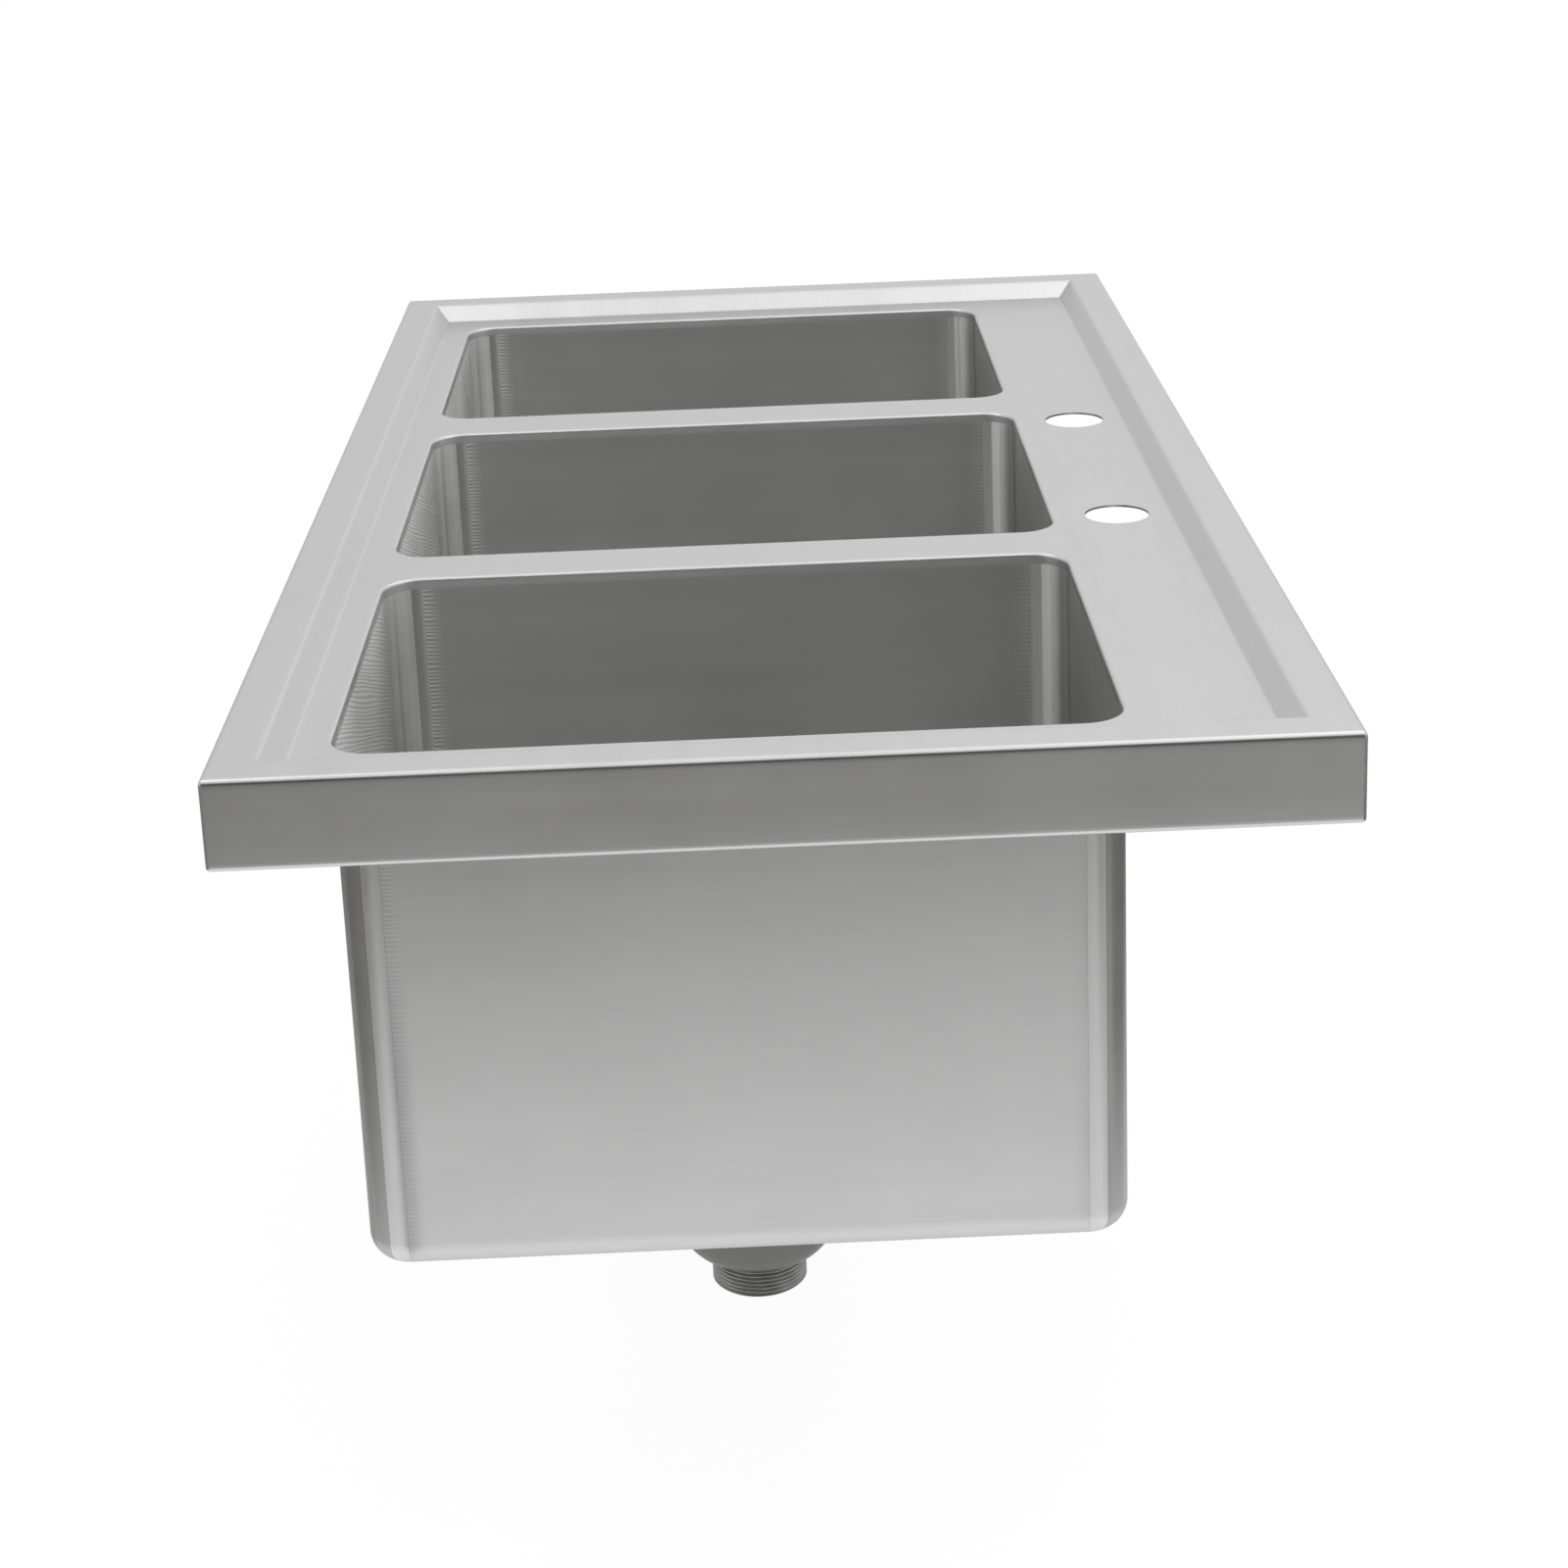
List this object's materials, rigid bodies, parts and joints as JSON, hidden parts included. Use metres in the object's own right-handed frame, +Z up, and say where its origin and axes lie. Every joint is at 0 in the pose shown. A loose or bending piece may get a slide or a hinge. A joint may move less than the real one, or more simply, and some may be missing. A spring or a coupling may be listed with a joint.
{
  "type": "three compartment sink",
  "caption": "Sheet-steel sink top with a raised rim, a row of coved bowls, a faucet ledge at the back and a basket strainer drain under each bowl.",
  "frame": {"origin": "middle of the deck, on the plane of the folded-in lower edge of the apron that rests on a counter", "axes": "+X along the row of bowls, +Y towards the faucet ledge at the back, +Z up"},
  "size_m": [0.95, 0.5, 0.3529],
  "materials": {
    "deck_steel": "satin, brushed along the length",
    "bowl_steel": "satin, with ground welds in the corners",
    "drain_steel": "smooth spun cup",
    "nut_metal": "plated casting",
    "basket_steel": "polished",
    "rubber": "matt",
    "fibre": "pressed fibre"
  },
  "bodies": {
    "sink": {"deck": "deck_steel", "left_bowl_wrap": "bowl_steel", "left_bowl_front_panel": "bowl_steel", "left_bowl_back_panel": "bowl_steel", "left_drain_body": "drain_steel", "left_flange_gasket": "rubber", "left_rubber_washer": "rubber", "left_friction_ring": "fibre", "left_locknut": "nut_metal", "centre_bowl_wrap": "bowl_steel", "centre_bowl_front_panel": "bowl_steel", "centre_bowl_back_panel": "bowl_steel", "centre_drain_body": "drain_steel", "centre_flange_gasket": "rubber", "centre_rubber_washer": "rubber", "centre_friction_ring": "fibre", "centre_locknut": "nut_metal", "right_bowl_wrap": "bowl_steel", "right_bowl_front_panel": "bowl_steel", "right_bowl_back_panel": "bowl_steel", "right_drain_body": "drain_steel", "right_flange_gasket": "rubber", "right_rubber_washer": "rubber", "right_friction_ring": "fibre", "right_locknut": "nut_metal"},
    "left_basket": {"left_strainer_basket": "basket_steel", "left_basket_post": "basket_steel", "left_rubber_stopper": "rubber"},
    "centre_basket": {"centre_strainer_basket": "basket_steel", "centre_basket_post": "basket_steel", "centre_rubber_stopper": "rubber"},
    "right_basket": {"right_strainer_basket": "basket_steel", "right_basket_post": "basket_steel", "right_rubber_stopper": "rubber"}
  },
  "joints": [
    {"name": "left_basket_lift", "type": "slide", "parent": "sink", "child": "left_basket", "axis": [0, 0, 1], "range_m": [0, 0.36]},
    {"name": "centre_basket_lift", "type": "slide", "parent": "sink", "child": "centre_basket", "axis": [0, 0, 1], "range_m": [0, 0.36]},
    {"name": "right_basket_lift", "type": "slide", "parent": "sink", "child": "right_basket", "axis": [0, 0, 1], "range_m": [0, 0.36]}
  ]
}
